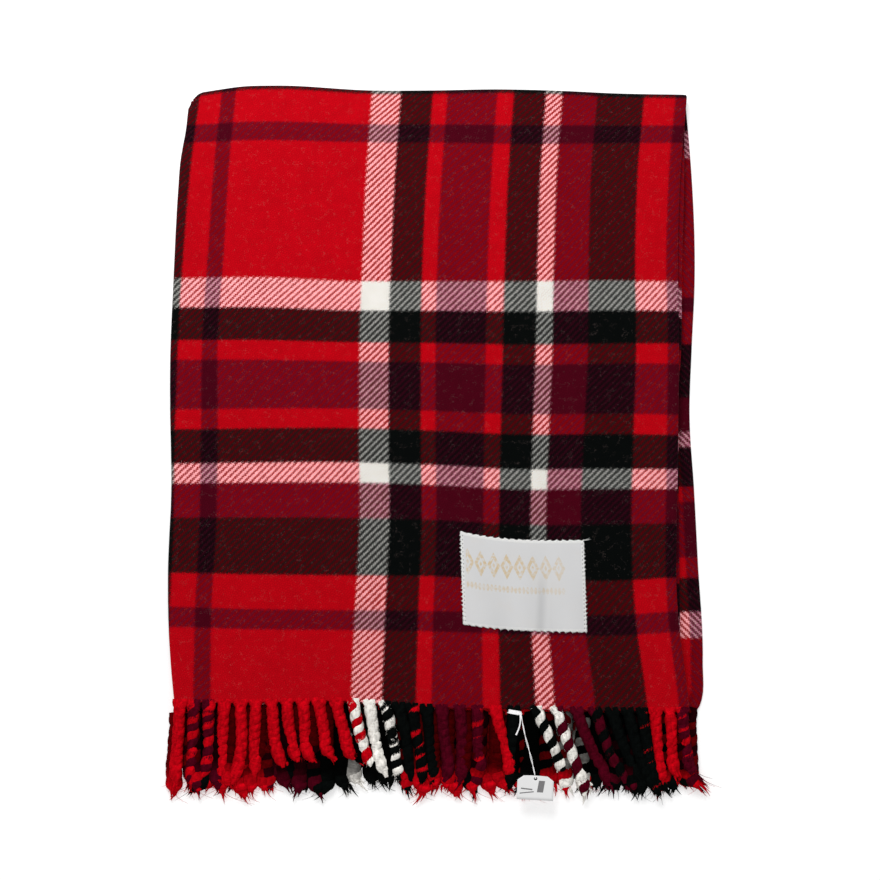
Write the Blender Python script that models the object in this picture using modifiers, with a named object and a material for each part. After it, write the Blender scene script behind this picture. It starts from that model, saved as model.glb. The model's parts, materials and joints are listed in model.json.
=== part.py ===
"""Woollen tartan throw, folded twice and lying flat.

The cloth is one woven sheet. A fold on the left lays it double, and a fold at the top lays it
four layers deep, so both fringed hems come together at the bottom. Metres, +Z up, with the
origin under the middle of the box. The top fold is the hinge that opens the front half.
"""
import math

import bmesh
import bpy
from mathutils import Vector

# Cloth
CLOTH_THICKNESS = 0.003
LAYER_GAP = 0.0015
FOLDED_WIDTH = 0.661
FOLDED_LENGTH = 0.7936
FRONT_SELVEDGE_STEP = 0.026
INNER_FRONT_SELVEDGE_STEP = 0.009
INNER_BACK_SELVEDGE_STEP = 0.028
FRONT_HEM_STEP = 0.0143
CORNER_RADIUS = 0.016

# Fringe
TASSEL_WIDTH = 0.011
TASSEL_HEIGHT = 0.003
FRONT_FRINGE = 0.0985
BACK_FRINGE = 0.1052
FRONT_TASSELS = 32
BACK_TASSELS = 33
FRINGE_HEADING = 0.003
TASSEL_END = 0.0035

# Sewn label
LABEL_WIDTH = 0.1505
LABEL_HEIGHT = 0.111
LABEL_THICKNESS = 0.0006
LABEL_FROM_SELVEDGE = 0.196
LABEL_FROM_HEM = 0.1452
LABEL_TURN = math.radians(-4.2)
THREAD_DIAMETER = 0.0008

# Swing ticket
TICKET_TASSEL = 22
TICKET_LOOP_DROP = 0.0094
STRING_DIAMETER = 0.0012
LOOP_STRING_DIAMETER = 0.0007
KNOT_OFFSET = 0.0023
KNOT_DROP = 0.0036
CARD_WIDTH = 0.043
CARD_HEIGHT = 0.029
CARD_THICKNESS = 0.0005
CARD_SHOULDER = 0.009
CARD_HOLE_DIAMETER = 0.004
CARD_HOLE_DROP = 0.0045
CARD_TURN = math.radians(-3.0)
STRING_ROUTE = [
    (0.0, 0.0, 0.0),
    (0.0022, -0.012, 0.0001),
    (0.0052, -0.026, 0.0002),
    (0.0093, -0.041, 0.0002),
    (0.0128, -0.055, 0.0001),
    (0.0152, -0.066, 0.0),
    (0.0168, -0.0735, 0.0),
]

# Clearances
TOUCH_GAP = 0.0003
FOLD_GAP = 0.001

# Places that follow from the sizes
TOTAL_LENGTH = FOLDED_LENGTH + BACK_FRINGE
TOP_Y = TOTAL_LENGTH / 2
LEFT_X = -FOLDED_WIDTH / 2
RIGHT_X = FOLDED_WIDTH / 2
LAYER_HEIGHT = max(CLOTH_THICKNESS, TASSEL_HEIGHT)
LAYER_PITCH = LAYER_HEIGHT + LAYER_GAP
LAYER_MIDDLES = [LAYER_HEIGHT / 2 + LAYER_PITCH * layer for layer in range(4)]
MIDDLE_Z = (LAYER_MIDDLES[0] + LAYER_MIDDLES[3]) / 2
CLOTH_TOP_Z = LAYER_MIDDLES[3] + CLOTH_THICKNESS / 2
TASSEL_TOP_Z = LAYER_MIDDLES[3] + TASSEL_HEIGHT / 2
INNER_REACH = LAYER_PITCH / 2
OUTER_REACH = LAYER_PITCH * 3 / 2
BEND_Y = TOP_Y - OUTER_REACH - CLOTH_THICKNESS / 2
BACK_HEM_Y = TOP_Y - FOLDED_LENGTH
FRONT_HEM_Y = BACK_HEM_Y + FRONT_HEM_STEP
FRONT_SELVEDGE_X = RIGHT_X - FRONT_SELVEDGE_STEP
INNER_FRONT_SELVEDGE_X = RIGHT_X - INNER_FRONT_SELVEDGE_STEP
INNER_BACK_SELVEDGE_X = RIGHT_X - INNER_BACK_SELVEDGE_STEP

# Warp stripes of the front panel, from its selvedge to the left fold
WARP_STRIPES = [
    ("maroon", 0.014), ("red", 0.039), ("black", 0.061), ("maroon", 0.043), ("cream", 0.020),
    ("black", 0.041), ("red", 0.021), ("maroon", 0.063), ("red", 0.021), ("black", 0.041),
    ("cream", 0.034), ("red", 0.174), ("maroon", 0.023),
]


def clear_scene():
    for item in list(bpy.data.objects):
        bpy.data.objects.remove(item, do_unlink=True)


def material(name, color, roughness, metallic=0.0):
    made = bpy.data.materials.get(name)
    if made is None:
        made = bpy.data.materials.new(name)
        made.use_nodes = True
        shader = made.node_tree.nodes["Principled BSDF"]
        shader.inputs["Base Color"].default_value = (*color, 1.0)
        shader.inputs["Roughness"].default_value = roughness
        shader.inputs["Metallic"].default_value = metallic
    return made


def wool(color):
    colors = {
        "red": (0.53, 0.004, 0.010),
        "maroon": (0.070, 0.003, 0.009),
        "black": (0.004, 0.005, 0.005),
        "cream": (0.97, 0.92, 0.86),
    }
    return material("wool_" + color, colors[color], 0.95)


def cloth_material():
    return material("tartan_cloth", (0.40, 0.005, 0.012), 0.95)


def satin_material():
    return material("label_satin", (0.62, 0.61, 0.60), 0.45)


def thread_material():
    return material("label_thread", (0.82, 0.80, 0.76), 0.6)


def card_material():
    return material("ticket_card", (0.90, 0.90, 0.90), 0.55)


def string_material():
    return material("ticket_string", (0.90, 0.89, 0.86), 0.8)


def add_object(name, data, finish, parts):
    item = bpy.data.objects.new(name, data)
    data.materials.append(finish)
    parts.objects.link(item)
    return item


def cross_profile(outer_selvedge, inner_selvedge):
    """Section through two layers: (x, distance from the middle plane), round the left fold."""
    flats = 5
    arc_steps = 8
    radius = LAYER_PITCH / 2
    fold_x = LEFT_X + radius + CLOTH_THICKNESS / 2
    points = []
    for step in range(flats):
        points.append((outer_selvedge + (fold_x - outer_selvedge) * step / flats, OUTER_REACH))
    for step in range(arc_steps + 1):
        angle = math.pi * step / arc_steps
        points.append((fold_x - radius * math.sin(angle), LAYER_PITCH + radius * math.cos(angle)))
    for step in range(1, flats + 1):
        points.append((fold_x + (inner_selvedge - fold_x) * step / flats, INNER_REACH))
    return points


def length_stations(hem_y):
    """Stations from the hem to the end of the quarter bend: (straight y, bend angle)."""
    bend_steps = 7
    corner_y = TOP_Y - CORNER_RADIUS
    stations = [(hem_y, 0.0), ((hem_y + corner_y) / 2, 0.0), (corner_y, 0.0)]
    stations.append(((corner_y + BEND_Y) / 2, 0.0))
    for step in range(bend_steps + 1):
        stations.append((BEND_Y, math.pi / 2 * step / bend_steps))
    return stations


def corner_inset(y):
    """How far the left edge steps in at height y, for the rounded corner by the top fold."""
    past = y - (TOP_Y - CORNER_RADIUS)
    if past <= 0:
        return 0.0
    past = min(past, CORNER_RADIUS)
    return CORNER_RADIUS - math.sqrt(CORNER_RADIUS ** 2 - past ** 2)


def folded_shell(name, outer_selvedge, inner_selvedge, hem_y, upward, parts):
    """Two layers joined at the left fold, whose top end bends a quarter turn to the middle."""
    profile = cross_profile(outer_selvedge, inner_selvedge)
    stations = length_stations(hem_y)
    across_count = len(profile) - 1
    along_count = len(stations) - 1
    grid = bmesh.new()
    bmesh.ops.create_grid(grid, x_segments=across_count, y_segments=along_count, size=0.5)
    for vert in grid.verts:
        x, reach = profile[round((vert.co.x + 0.5) * across_count)]
        straight_y, angle = stations[round((vert.co.y + 0.5) * along_count)]
        y = straight_y + reach * math.sin(angle)
        inset = corner_inset(straight_y + OUTER_REACH * math.sin(angle))
        share = (outer_selvedge - x) / (outer_selvedge - LEFT_X)
        height = FOLD_GAP + (reach - FOLD_GAP) * math.cos(angle)
        vert.co = Vector((x + inset * max(share, 0.0), y, MIDDLE_Z + upward * height))
    mesh = bpy.data.meshes.new(name)
    grid.to_mesh(mesh)
    grid.free()
    item = add_object(name, mesh, cloth_material(), parts)
    shell = item.modifiers.new("thickness", "SOLIDIFY")
    shell.thickness = CLOTH_THICKNESS
    shell.offset = 0.0
    shell.use_even_offset = True
    mesh.shade_smooth()
    return item


def tube(name, points, diameter, finish, parts, closed=False, radii=None):
    curve = bpy.data.curves.new(name, "CURVE")
    curve.dimensions = "3D"
    curve.bevel_depth = diameter / 2
    curve.bevel_resolution = 2
    curve.use_fill_caps = not closed
    spline = curve.splines.new("POLY")
    spline.points.add(len(points) - 1)
    for index, place in enumerate(points):
        spline.points[index].co = (*place, 1.0)
        spline.points[index].radius = radii[index] if radii else 1.0
    spline.use_cyclic_u = closed
    return add_object(name, curve, finish, parts)


def flat_shape(name, outlines, thickness, finish, parts):
    curve = bpy.data.curves.new(name, "CURVE")
    curve.dimensions = "2D"
    curve.fill_mode = "BOTH"
    curve.extrude = thickness / 2
    for outline in outlines:
        spline = curve.splines.new("POLY")
        spline.points.add(len(outline) - 1)
        for index, place in enumerate(outline):
            spline.points[index].co = (place[0], place[1], 0.0, 1.0)
        spline.use_cyclic_u = True
    return add_object(name, curve, finish, parts)


def tassel_places(selvedge_x, count):
    """Middle of each tassel along a hem, from the left fold to the selvedge."""
    spacing = (selvedge_x - LEFT_X) / count
    return [LEFT_X + spacing * (index + 0.5) for index in range(count)]


def stripe_color(distance_from_selvedge):
    reach = 0.0
    for color, width in WARP_STRIPES:
        reach += width
        if distance_from_selvedge < reach:
            return color
    return "red"


def front_tassel(number, x, parts):
    """One twisted tassel of the front hem, as a flattened round bar with a narrower tip."""
    root_y = -TOUCH_GAP
    points = [(0.0, root_y, 0.0), (0.0, -FRONT_FRINGE / 2, 0.0)]
    points += [(0.0, -FRONT_FRINGE * 0.85, 0.0), (0.0, -FRONT_FRINGE, 0.0)]
    name = "tassel_%02d" % number
    finish = wool(stripe_color(FRONT_SELVEDGE_X - x))
    item = tube(name, points, TASSEL_WIDTH, finish, parts, radii=[1.0, 1.0, 0.9, 0.5])
    item.scale.z = TASSEL_HEIGHT / TASSEL_WIDTH
    item.location = (x, FRONT_HEM_Y, LAYER_MIDDLES[3])
    return item


def fringe_row(name, selvedge_x, hem_y, length, count, middle_z, color, parts):
    """A whole row of tassels that share the heading of the weave, as one comb."""
    top = -TOUCH_GAP
    root = top - FRINGE_HEADING
    places = tassel_places(selvedge_x, count)
    half = TASSEL_WIDTH / 2
    outline = [(places[0] - half, top)]
    for x in places:
        outline.append((x - half, root))
        outline.append((x - half, -length + TASSEL_END))
        outline.append((x - half / 2, -length))
        outline.append((x + half / 2, -length))
        outline.append((x + half, -length + TASSEL_END))
        outline.append((x + half, root))
    outline.append((places[-1] + half, top))
    item = flat_shape(name, [outline], TASSEL_HEIGHT, wool(color), parts)
    item.location = (0.0, hem_y, middle_z)
    return item


def label(parts):
    half_w = LABEL_WIDTH / 2
    half_h = LABEL_HEIGHT / 2
    outline = [(-half_w, -half_h), (half_w, -half_h), (half_w, half_h), (-half_w, half_h)]
    item = flat_shape("label", [outline], LABEL_THICKNESS, satin_material(), parts)
    item.location = label_place(TOUCH_GAP + LABEL_THICKNESS / 2)
    item.rotation_euler.z = LABEL_TURN
    return item


def label_place(height):
    x = FRONT_SELVEDGE_X - LABEL_FROM_SELVEDGE
    y = FRONT_HEM_Y + LABEL_FROM_HEM
    return (x, y, CLOTH_TOP_Z + height)


def label_stitching(parts):
    """The sewing thread round the edge of the label."""
    reach = TOUCH_GAP + THREAD_DIAMETER / 2
    half_w = LABEL_WIDTH / 2 + reach
    half_h = LABEL_HEIGHT / 2 + reach
    corners = [(-half_w, -half_h, 0), (half_w, -half_h, 0), (half_w, half_h, 0), (-half_w, half_h, 0)]
    item = tube("label_stitching", corners, THREAD_DIAMETER, thread_material(), parts, closed=True)
    item.location = label_place(reach)
    item.rotation_euler.z = LABEL_TURN
    return item


def ticket_tassel_x():
    return tassel_places(FRONT_SELVEDGE_X, FRONT_TASSELS)[TICKET_TASSEL - 1]


def knot_place():
    """The side of the looped tassel where the string leaves the loop, and the ticket turns."""
    x = ticket_tassel_x() + TASSEL_WIDTH / 2 + KNOT_OFFSET
    y = FRONT_HEM_Y - TICKET_LOOP_DROP - KNOT_DROP
    z = TASSEL_TOP_Z + TOUCH_GAP + CARD_THICKNESS + TOUCH_GAP + STRING_DIAMETER / 2
    return Vector((x, y, z))


def ticket_loop(parts):
    """The hitch of string round one tassel, through the middle of the gap below it."""
    half_w = TASSEL_WIDTH / 2 + TOUCH_GAP + LOOP_STRING_DIAMETER / 2
    half_h = LAYER_PITCH / 2
    steps = 16
    points = []
    for step in range(steps):
        angle = 2 * math.pi * step / steps
        points.append((half_w * math.cos(angle), 0.0, half_h * math.sin(angle)))
    finish = string_material()
    item = tube("ticket_loop", points, LOOP_STRING_DIAMETER, finish, parts, closed=True)
    y = FRONT_HEM_Y - TICKET_LOOP_DROP
    item.location = (ticket_tassel_x(), y, LAYER_MIDDLES[3])
    return item


def smooth_route(points, steps):
    """A smooth curve through the points, with the given number of steps in each span."""
    places = [Vector(place) for place in points]
    padded = [places[0] * 2 - places[1], *places, places[-1] * 2 - places[-2]]
    route = []
    for index in range(1, len(padded) - 2):
        a, b, c, d = padded[index - 1:index + 3]
        for step in range(steps):
            t = step / steps
            square = (a * 2 - b * 5 + c * 4 - d) * t * t
            cube = (b * 3 - a - c * 3 + d) * t * t * t
            route.append((b * 2 + (c - a) * t + square + cube) / 2)
    route.append(places[-1])
    return route


def ticket_string(pivot, parts):
    route = smooth_route(STRING_ROUTE, 4)
    item = tube("ticket_string", route, STRING_DIAMETER, string_material(), parts)
    item.parent = pivot
    return item


def ticket_card(pivot, parts):
    """A card with cut shoulders and a punched hole, hanging from the end of the string."""
    half_w = CARD_WIDTH / 2
    top = CARD_HOLE_DROP
    bottom = top - CARD_HEIGHT
    shoulder_y = top - CARD_SHOULDER / 2
    outline = [(-half_w, bottom), (half_w, bottom), (half_w, shoulder_y)]
    outline += [(half_w - CARD_SHOULDER, top), (CARD_SHOULDER - half_w, top), (-half_w, shoulder_y)]
    steps = 12
    radius = CARD_HOLE_DIAMETER / 2
    hole = []
    for step in range(steps):
        angle = -2 * math.pi * step / steps
        hole.append((radius * math.cos(angle), radius * math.sin(angle)))
    item = flat_shape("ticket_card", [outline, hole], CARD_THICKNESS, card_material(), parts)
    end = Vector(STRING_ROUTE[-1])
    drop = STRING_DIAMETER / 2 + TOUCH_GAP + CARD_THICKNESS / 2
    item.location = (end.x, end.y, end.z - drop)
    item.rotation_euler.z = CARD_TURN
    item.parent = pivot
    return item


def axis_empty(name, place, parts):
    empty = bpy.data.objects.new(name, None)
    empty.location = place
    empty.empty_display_size = 0.02
    parts.objects.link(empty)
    return empty


def hang_from(pivot, items):
    """Parents the items to the empty on the joint's axis and keeps them where they are."""
    for item in items:
        item.location = Vector(item.location) - pivot.location
        item.parent = pivot


def build():
    clear_scene()
    parts = bpy.data.collections.new("folded_throw")
    bpy.context.scene.collection.children.link(parts)

    folded_shell("back_half_cloth", RIGHT_X, INNER_BACK_SELVEDGE_X, BACK_HEM_Y, -1, parts)
    fringe_row("bottom_fringe", RIGHT_X, BACK_HEM_Y, BACK_FRINGE, BACK_TASSELS,
               LAYER_MIDDLES[0], "red", parts)
    fringe_row("inner_back_fringe", INNER_BACK_SELVEDGE_X, BACK_HEM_Y, BACK_FRINGE, BACK_TASSELS,
               LAYER_MIDDLES[1], "black", parts)

    top_fold = axis_empty("top_fold_axis", (0.0, TOP_Y + TOUCH_GAP, MIDDLE_Z), parts)
    front = [folded_shell("front_half_cloth", FRONT_SELVEDGE_X, INNER_FRONT_SELVEDGE_X,
                          FRONT_HEM_Y, 1, parts)]
    front.append(fringe_row("inner_front_fringe", INNER_FRONT_SELVEDGE_X, FRONT_HEM_Y, FRONT_FRINGE,
                            BACK_TASSELS, LAYER_MIDDLES[2], "maroon", parts))
    for index, x in enumerate(tassel_places(FRONT_SELVEDGE_X, FRONT_TASSELS)):
        front.append(front_tassel(index + 1, x, parts))
    front += [label(parts), label_stitching(parts), ticket_loop(parts)]

    ticket_pivot = axis_empty("ticket_axis", knot_place(), parts)
    ticket_string(ticket_pivot, parts)
    ticket_card(ticket_pivot, parts)
    front.append(ticket_pivot)
    hang_from(top_fold, front)


build()
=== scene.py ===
import json
import math

import bpy
import numpy as np
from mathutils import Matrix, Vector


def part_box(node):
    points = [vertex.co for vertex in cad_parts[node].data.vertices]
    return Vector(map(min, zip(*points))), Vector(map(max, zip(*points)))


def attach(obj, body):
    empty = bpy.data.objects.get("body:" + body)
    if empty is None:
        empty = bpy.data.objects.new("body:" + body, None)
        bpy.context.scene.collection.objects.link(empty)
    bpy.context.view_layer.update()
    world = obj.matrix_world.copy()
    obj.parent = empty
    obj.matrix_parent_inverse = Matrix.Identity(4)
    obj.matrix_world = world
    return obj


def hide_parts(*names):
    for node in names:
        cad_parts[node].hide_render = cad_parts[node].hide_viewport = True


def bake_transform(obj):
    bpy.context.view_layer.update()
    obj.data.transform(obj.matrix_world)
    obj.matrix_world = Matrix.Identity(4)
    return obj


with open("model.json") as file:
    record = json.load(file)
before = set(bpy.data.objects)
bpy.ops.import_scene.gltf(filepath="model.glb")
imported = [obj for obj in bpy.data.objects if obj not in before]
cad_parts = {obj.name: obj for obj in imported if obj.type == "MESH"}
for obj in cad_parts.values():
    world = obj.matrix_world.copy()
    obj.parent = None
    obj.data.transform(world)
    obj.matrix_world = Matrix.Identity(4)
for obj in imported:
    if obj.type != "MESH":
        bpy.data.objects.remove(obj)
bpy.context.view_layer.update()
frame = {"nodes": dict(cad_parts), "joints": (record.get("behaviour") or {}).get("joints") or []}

# ---------------------------------------------------------------- sizes, in metres

back_low, back_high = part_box("back_half_cloth")
front_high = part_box("front_half_cloth")[1]
LEFT_X = back_low.x
TOP_Y = back_high.y
MIDDLE_Z = (back_low.z + front_high.z) / 2
CLOTH = 0.003
PITCH = (front_high.z - back_low.z - CLOTH) / 3
OUTER_REACH = PITCH * 1.5
BEND_Y = TOP_Y - OUTER_REACH - CLOTH / 2
OUTER_QUARTER = OUTER_REACH * math.pi / 2

# The loom plan: (yarn, number of threads), from the open selvedge and from the front hem
END_PITCH = 0.00205
PICK_PITCH = 0.00207
WARP_PLAN = [
    ("maroon", 7), ("red", 19), ("black", 30), ("maroon", 21), ("cream", 10), ("black", 20),
    ("red", 10), ("maroon", 31), ("red", 10), ("black", 20), ("cream", 17), ("red", 85),
    ("maroon", 11), ("red", 14), ("black", 33), ("maroon", 21), ("cream", 10), ("black", 20),
    ("red", 10), ("maroon", 31), ("red", 10), ("black", 20), ("cream", 17), ("red", 85),
    ("maroon", 11), ("red", 20), ("black", 30), ("maroon", 11),
]
WEFT_PLAN = [
    ("red", 42), ("maroon", 12), ("red", 22), ("black", 33), ("maroon", 21), ("cream", 11),
    ("black", 21), ("red", 11), ("maroon", 32), ("red", 10), ("black", 22), ("cream", 17),
    ("red", 88), ("maroon", 11), ("red", 20), ("black", 35), ("cream", 17), ("red", 88),
    ("maroon", 11), ("red", 20), ("black", 33), ("maroon", 21), ("cream", 10), ("black", 22),
    ("red", 10), ("maroon", 33), ("red", 10), ("black", 21), ("cream", 17), ("red", 42),
]
ENDS = sum(count for yarn, count in WARP_PLAN)
PICKS = sum(count for yarn, count in WEFT_PLAN)
FOLD_PICK = 381.0

YARN = {
    "red": (0.555, 0.0010, 0.0066),
    "maroon": (0.073, 0.0010, 0.0080),
    "black": (0.0022, 0.0031, 0.0029),
    "cream": (0.970, 0.935, 0.870),
}


def through(knots):
    """A smooth curve through (place, value) points, as a function on arrays."""
    places = np.array([knot[0] for knot in knots], float)
    values = np.array([knot[1] for knot in knots], float)
    order = np.argsort(places)
    places, values = places[order], values[order]
    slopes = np.gradient(values, places)

    def curve(place):
        at = np.clip(place, places[0], places[-1])
        low = np.clip(np.searchsorted(places, at) - 1, 0, len(places) - 2)
        span = places[low + 1] - places[low]
        t = (at - places[low]) / span
        rise = (2 * t ** 3 - 3 * t ** 2 + 1) * values[low] + (3 * t ** 2 - 2 * t ** 3) * values[low + 1]
        turn = (t ** 3 - 2 * t ** 2 + t) * slopes[low] + (t ** 3 - t ** 2) * slopes[low + 1]
        return rise + turn * span

    return curve


# Line of the selvedge along the cloth, from the front hem, over the top fold, to the back hem
selvedge_line = through([
    (-0.782, 0.3080), (-0.452, 0.3085), (-0.272, 0.3090), (-0.152, 0.3135), (0.0, 0.3235),
    (0.104, 0.3290), (0.256, 0.3290), (0.347, 0.3225), (0.432, 0.3175), (0.523, 0.3205),
    (0.610, 0.3225), (0.732, 0.3250), (0.782, 0.3210), (0.797, 0.3140),
])
# How far the front panel's selvedge draws in below the middle
selvedge_draw = through([
    (-0.782, 0.0080), (-0.650, 0.0115), (-0.510, 0.0070), (-0.350, 0.0030), (-0.272, 0.0), (0.0, 0.0),
])
# How far the left fold stands in from the widest point
left_fold = through([
    (-0.345, 0.0190), (-0.314, 0.0150), (-0.255, 0.0085), (-0.170, 0.0038), (-0.0585, 0.0050),
    (0.108, -0.0010), (0.180, -0.0010), (0.300, 0.0003), (0.355, 0.0023), (0.395, 0.0070),
    (0.450, 0.0085),
])
# Where the inner layers' own selvedge lies
inner_selvedge = through([
    (-0.782, 0.2990), (-0.500, 0.2960), (-0.300, 0.3120), (-0.150, 0.3216), (0.0, 0.3200),
    (0.150, 0.3120), (0.500, 0.3010), (0.797, 0.2960),
])
# How the top fold wavers along its length
top_waver = through([
    (-0.320, -0.0100), (-0.280, -0.0040), (-0.250, 0.0000), (-0.200, 0.0015), (-0.080, -0.0050),
    (0.0, -0.0050), (0.080, -0.0035), (0.160, -0.0055), (0.230, -0.0090), (0.330, -0.0110),
])
CORNER = 0.026
# How far past the top fold its pull is felt, and how far in from the selvedge it draws
TOP_PULL = 0.05
SELVEDGE_PULL = 0.035

# How far the front panel lies out of square, in millimetres. The rows run from the front hem to
# the top fold, and each goes from the left fold to the selvedge. Most of these numbers came out
# of a least-squares fit and some were changed afterwards.
DRAWN_ACROSS = np.array([
    (2.5, 3.7, -4.3, -5.3, -4.4, 3.7, 4.2),
    (3.4, 0.0, -1.4, -3.5, -7.6, -8.4, -1.0),
    (4.0, 5.0, 3.4, 0.3, -7.2, -12.6, -1.5),
    (2.3, 4.0, 1.6, -1.0, -4.0, -7.4, -2.0),
    (3.4, -1.0, 1.0, -0.8, 0.9, -0.2, -1.8),
    (4.7, 3.0, 2.2, -0.5, 2.6, -0.2, -6.4),
    (5.6, 0.2, 0.7, -0.6, 2.2, -0.2, -4.4),
    (8.0, -1.5, -1.0, -0.6, 3.0, 3.0, 0.5),
])
DRAWN_ALONG = np.array([
    (8.7, 8.4, 10.5, 3.1, 1.1, -0.8, -0.8),
    (4.8, 1.6, 0.4, -0.6, -4.2, -5.9, 1.0),
    (2.2, 2.6, 1.9, -0.6, -6.3, -6.0, -4.0),
    (-0.8, 0.8, 1.1, -2.4, -7.1, -6.4, -8.0),
    (-0.7, -0.1, -3.0, -4.2, -6.5, -4.7, -4.6),
    (-0.1, 1.8, -3.2, -3.5, -3.3, -2.1, -4.1),
    (-1.0, 0.7, -1.0, -0.8, -4.1, -1.5, 0.0),
    (0.0, 0.0, 0.0, 0.0, 0.0, 0.0, 0.0),
])


# Where those grids lie on the panel
GRID_LEFT, GRID_WIDTH = -0.330, 0.660
GRID_HEM, GRID_LENGTH = -0.340, 0.790


def spread(grid, x, y):
    """A smooth value at a place on the panel, in metres, from a grid in millimetres."""
    rows, columns = grid.shape
    u = np.clip((x - GRID_LEFT) / GRID_WIDTH, 0, 1) * (columns - 1)
    v = np.clip((y - GRID_HEM) / GRID_LENGTH, 0, 1) * (rows - 1)
    column = np.minimum(u.astype(int), columns - 2)
    row = np.minimum(v.astype(int), rows - 2)

    def shares(t):
        return (
            (-t ** 3 + 2 * t ** 2 - t) / 2,
            (3 * t ** 3 - 5 * t ** 2 + 2) / 2,
            (-3 * t ** 3 + 4 * t ** 2 + t) / 2,
            (t ** 3 - t ** 2) / 2,
        )

    total = 0.0
    for i, share_v in enumerate(shares(v - row)):
        for j, share_u in enumerate(shares(u - column)):
            at_row = np.clip(row + i - 1, 0, rows - 1)
            at_column = np.clip(column + j - 1, 0, columns - 1)
            total = total + share_v * share_u * grid[at_row, at_column]
    return total / 1000


def ease(value):
    """A smooth step from 0 to 1."""
    t = np.clip(value, 0.0, 1.0)
    return t * t * (3 - 2 * t)


def loft(x, y):
    """How much the upper layers puff up, as a share of their height above the middle."""
    broad = 0.10 * np.sin(8.3 * x + 1.1) * np.cos(6.1 * y + 0.5) + 0.07 * np.sin(15.0 * x - 9.0 * y + 2.0)
    fine = 0.035 * np.sin(41.0 * x + 13.0 * y) * np.sin(33.0 * y - 11.0 * x + 0.7)
    ripple = 0.020 * np.sin(96.0 * y + 21.0 * x) * np.sin(57.0 * x + 1.0)
    roll = 0.22 * np.exp(-((x - LEFT_X - 0.020) / 0.016) ** 2)
    top = ease((BEND_Y - y) / 0.06)
    return (0.20 + broad + fine + ripple + roll) * top


def fold(end, pick):
    """Where the middle of the cloth, at a warp end and a weft pick, lies in the folded throw."""
    along = (pick - FOLD_PICK) * PICK_PITCH
    front = along < 0
    length = np.abs(along)
    outer_angle = np.clip(length / OUTER_REACH, 0, math.pi / 2)
    outer_y = BEND_Y + OUTER_REACH * np.cos(outer_angle) - np.clip(length - OUTER_QUARTER, 0, None)
    past = np.clip(outer_y - (TOP_Y - CORNER), 0, CORNER * 0.995)
    corner = CORNER - np.sqrt(CORNER ** 2 - past ** 2)
    behind = np.where(front, 0.0, 0.0015)
    edge_x = LEFT_X + left_fold(outer_y) + corner + behind * ease(length / TOP_PULL)
    center_x = edge_x + CLOTH / 2 + PITCH / 2
    draw = selvedge_draw(along) * np.exp(-end * END_PITCH / SELVEDGE_PULL)
    from_fold = selvedge_line(along) - draw - end * END_PITCH - center_x
    arc = math.pi * PITCH / 2
    angle = np.clip(-from_fold / (PITCH / 2), 0, math.pi)
    inner = np.clip(-from_fold - arc, 0, None)
    spare = np.maximum((ENDS * END_PITCH) - (selvedge_line(along) - center_x) - arc, 0.1)
    inner = inner * (inner_selvedge(along) - center_x) / spare
    x = center_x + np.clip(from_fold, 0, None) - PITCH / 2 * np.sin(angle) + inner
    reach = PITCH + PITCH / 2 * np.cos(angle)
    quarter = reach * math.pi / 2
    bend = np.clip(length / reach, 0, math.pi / 2)
    straight = np.clip(length - quarter, 0, None)
    lean = top_waver(x) * np.exp(-straight / TOP_PULL)
    y = BEND_Y + reach * np.cos(bend) - straight + lean
    held = np.where(front, 1.0, np.exp(-length / TOP_PULL))
    left = np.where(front, 0.0, (1 - held) * np.exp(-(x - LEFT_X) / 0.03))
    across = spread(DRAWN_ACROSS, x, y) * (held + left)
    y = y + spread(DRAWN_ALONG, x, y) * held
    x = x + across
    height = reach * np.sin(bend)
    height = np.where(front, height * (1 + loft(x, y)), -height)
    return np.stack([x, y, MIDDLE_Z + height], -1)


def front_thread(x, y):
    """The warp end and weft pick under a place on the front panel, found in a few steps."""
    x, y = np.asarray(x, float), np.asarray(y, float)
    end = (0.309 - x) / END_PITCH
    pick = FOLD_PICK - (BEND_Y - y + OUTER_QUARTER) / PICK_PITCH
    for step in range(8):
        place = fold(end, pick)
        end = end + (place[..., 0] - x) / END_PITCH
        pick = pick + (y - place[..., 1]) / PICK_PITCH
    return end, pick


def front_height(x, y):
    """The height of the top of the front panel."""
    end, pick = front_thread(x, y)
    return fold(end, pick)[..., 2] + CLOTH / 2


# ---------------------------------------------------------------- shader maths

def wire_maths(operation, turned=False):
    """A method that adds a Math node for a wire and what it is joined with."""
    def method(wire, *others):
        values = (*others, wire) if turned else (wire, *others)
        return wire.finish.node("Math", {"operation": operation}, dict(enumerate(values)))

    return method


class Wire:
    """A value in a material. Sums and products of wires add the nodes that work them out."""

    def __init__(self, finish, socket):
        self.finish = finish
        self.socket = socket

    __add__ = __radd__ = wire_maths("ADD")
    __sub__ = wire_maths("SUBTRACT")
    __rsub__ = wire_maths("SUBTRACT", turned=True)
    __mul__ = __rmul__ = wire_maths("MULTIPLY")
    __truediv__ = wire_maths("DIVIDE")
    __mod__ = wire_maths("FLOORED_MODULO")
    __lt__ = wire_maths("LESS_THAN")
    __gt__ = wire_maths("GREATER_THAN")
    __abs__ = wire_maths("ABSOLUTE")
    floor = wire_maths("FLOOR")
    fract = wire_maths("FRACT")
    sin = wire_maths("SINE")
    cos = wire_maths("COSINE")
    at_least = wire_maths("MAXIMUM")

    def smooth(self, low, high):
        """0 below low and 1 above high, with a smooth step between."""
        settings = {"interpolation_type": "SMOOTHSTEP"}
        return self.finish.node("MapRange", settings, {0: self, 1: low, 2: high, 3: 0.0, 4: 1.0})


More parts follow.
